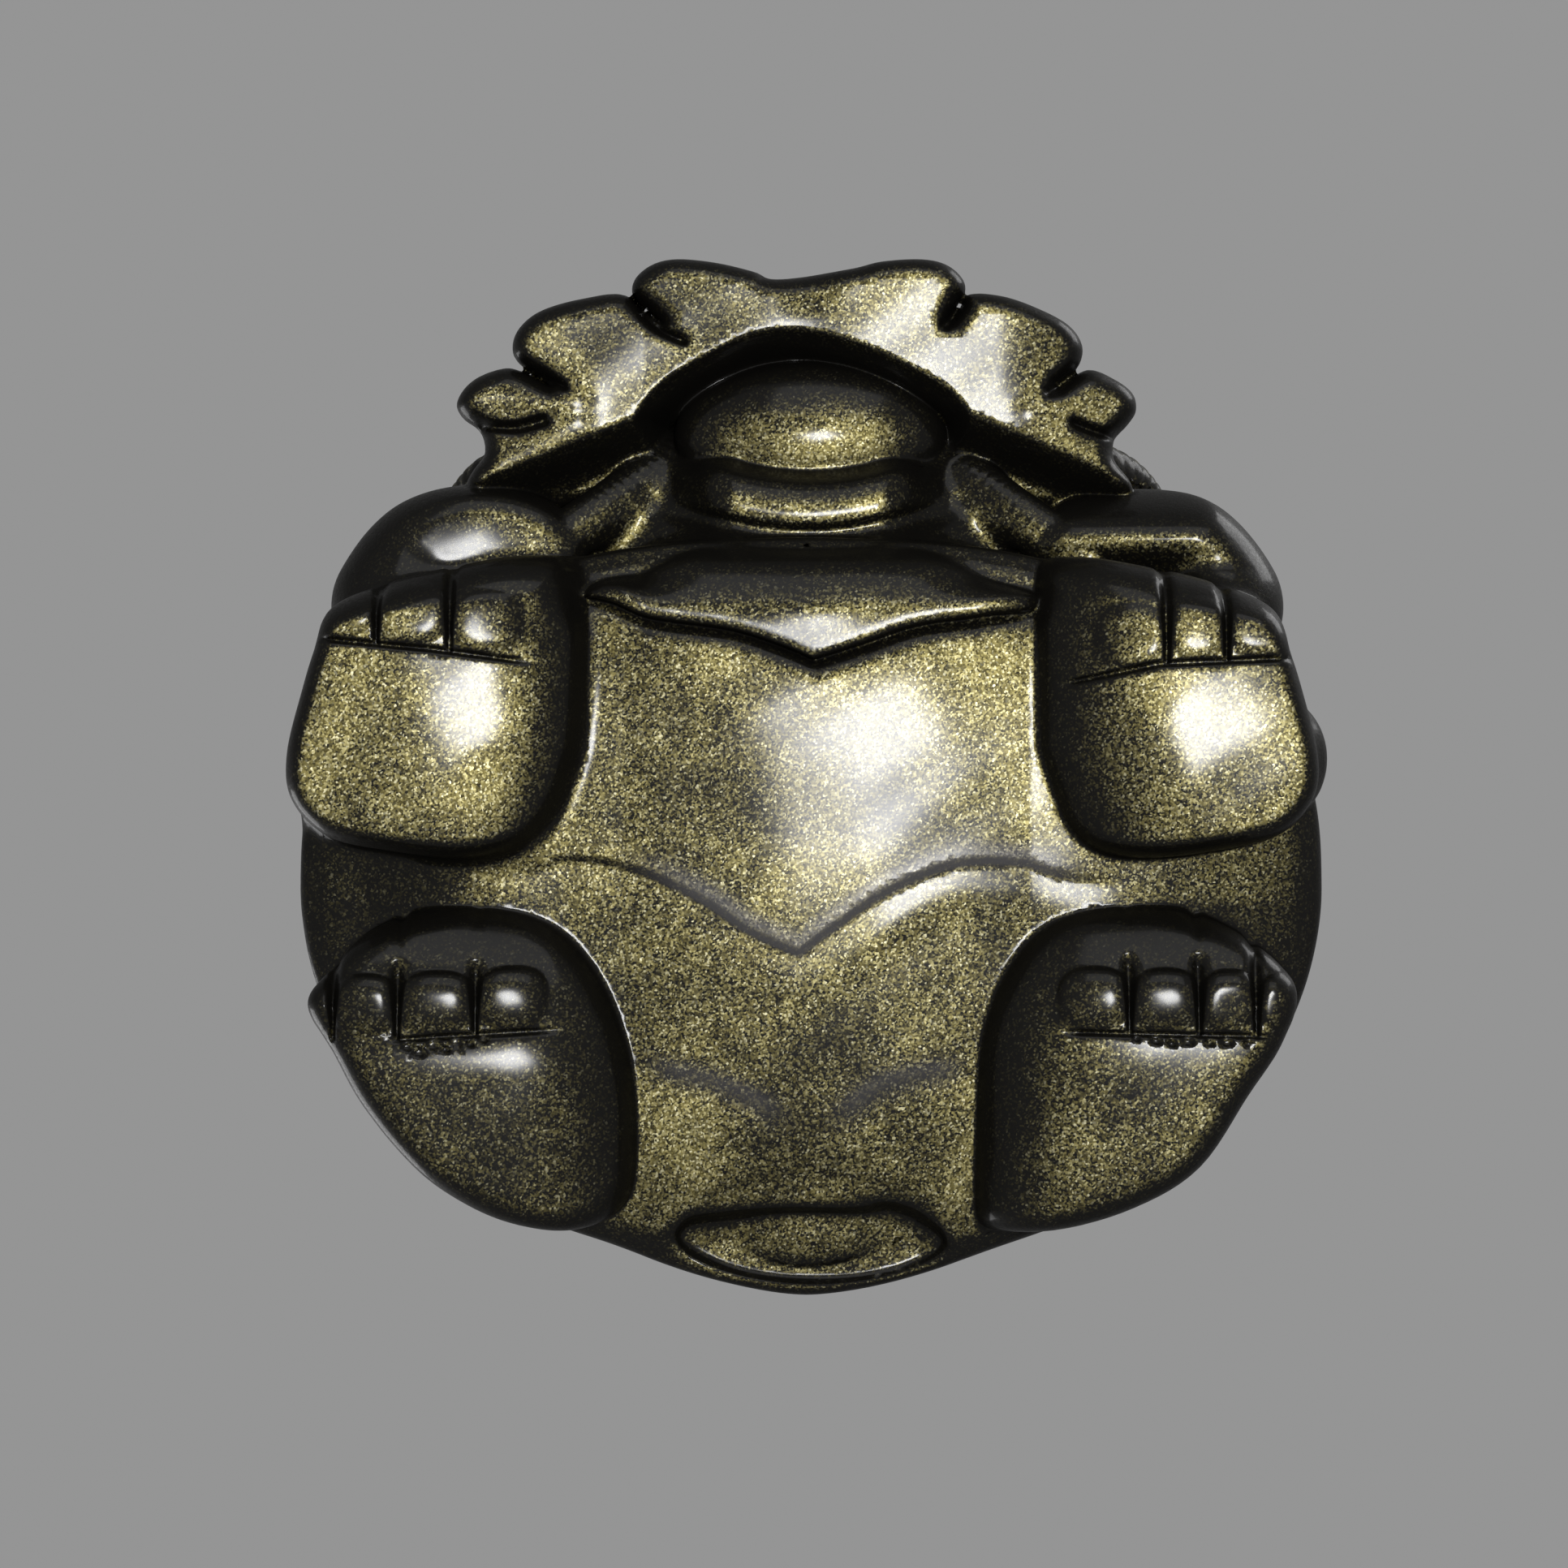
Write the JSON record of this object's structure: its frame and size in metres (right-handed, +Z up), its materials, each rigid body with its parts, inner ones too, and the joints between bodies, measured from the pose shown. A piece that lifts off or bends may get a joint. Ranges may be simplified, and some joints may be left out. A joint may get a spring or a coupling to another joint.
{
  "type": "dragon turtle carving",
  "caption": "Polished obsidian carving of a dragon-headed turtle that stands on four flat soles, with plated dome shell, horns, mane and lobed beard",
  "frame": {"origin": "centre of the bounding box, on the floor that the soles stand on", "axes": "+Z up, the head looks along -Y and the tail is at +Y; +X is the side that the picture shows on its right"},
  "size_m": [0.0876, 0.0886, 0.0514],
  "materials": {
    "gold_sheen_obsidian": "polished near-black volcanic glass with a fine pale gold sheen on faces that look up or down"
  },
  "bodies": {
    "root": {"carapace": "gold_sheen_obsidian", "plastron": "gold_sheen_obsidian", "tail": "gold_sheen_obsidian", "front_left_leg": "gold_sheen_obsidian", "front_right_leg": "gold_sheen_obsidian", "rear_left_leg": "gold_sheen_obsidian", "rear_right_leg": "gold_sheen_obsidian", "neck": "gold_sheen_obsidian", "nape_mane": "gold_sheen_obsidian", "cheek_mane_left": "gold_sheen_obsidian", "cheek_mane_right": "gold_sheen_obsidian", "head": "gold_sheen_obsidian", "lower_jaw": "gold_sheen_obsidian", "throat_bulb": "gold_sheen_obsidian", "beard_frill": "gold_sheen_obsidian", "eye_left": "gold_sheen_obsidian", "eye_right": "gold_sheen_obsidian", "brow_left": "gold_sheen_obsidian", "brow_right": "gold_sheen_obsidian", "horn_left": "gold_sheen_obsidian", "horn_right": "gold_sheen_obsidian"}
  },
  "joints": []
}
